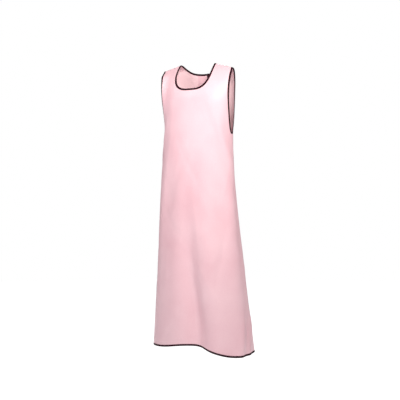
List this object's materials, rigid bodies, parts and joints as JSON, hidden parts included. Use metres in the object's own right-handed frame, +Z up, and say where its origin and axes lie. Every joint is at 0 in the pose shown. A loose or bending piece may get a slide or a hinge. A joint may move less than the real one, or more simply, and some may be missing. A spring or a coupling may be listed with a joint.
{
  "type": "butcher apron",
  "caption": "Full-length sleeveless pull-on apron in coated cloth, with bound edges, that opens down the back on press studs.",
  "frame": {"origin": "midway between the two points where the neckline meets the shoulder seams, which rest on the wearer's shoulders", "axes": "+Z up along the length, wearer's front towards -Y, wearer's left towards +X"},
  "size_m": [0.5108, 0.3396, 1.3515],
  "materials": {
    "coated_cloth": "smooth pink polyurethane-coated plain weave with a soft sheen",
    "seam_tape": "smooth pink coated tape",
    "binding": "dark maroon folded woven binding, stitched",
    "snap_cap": "polished nickel dome",
    "snap_metal": "satin nickel",
    "label": "blank white satin ribbon"
  },
  "bodies": {
    "apron": {"front_panel": "coated_cloth", "left_side_back": "coated_cloth", "right_side_back": "coated_cloth", "left_side_seam_tape": "seam_tape", "right_side_seam_tape": "seam_tape", "left_shoulder_seam_tape": "seam_tape", "right_shoulder_seam_tape": "seam_tape", "neck_binding": "binding", "left_armhole_binding": "binding", "right_armhole_binding": "binding", "hem_binding": "binding", "care_label": "label"},
    "left_flap": {"left_back_flap": "coated_cloth", "left_back_facing": "coated_cloth", "neck_binding_left_end": "binding", "hem_binding_left_end": "binding", "left_back_edge_binding": "binding", "snap_caps": "snap_cap", "snap_sockets": "snap_metal"},
    "right_flap": {"right_back_flap": "coated_cloth", "right_back_facing": "coated_cloth", "neck_binding_right_end": "binding", "hem_binding_right_end": "binding", "right_back_edge_binding": "binding", "snap_studs": "snap_metal", "snap_rings": "snap_metal"}
  },
  "joints": [
    {"name": "left_flap_fold", "type": "hinge", "parent": "apron", "child": "left_flap", "pos_m": [0.072, 0.065, -0.045], "axis": [0.0786, 0.0534, -0.9955], "range_deg": [0, 110]},
    {"name": "right_flap_fold", "type": "hinge", "parent": "apron", "child": "right_flap", "pos_m": [-0.072, 0.065, -0.045], "axis": [0.0786, -0.0534, 0.9955], "range_deg": [0, 60]}
  ],
  "couplings": [
    {"joint": "right_flap_fold", "follows": "left_flap_fold", "ratio": 0.5}
  ]
}
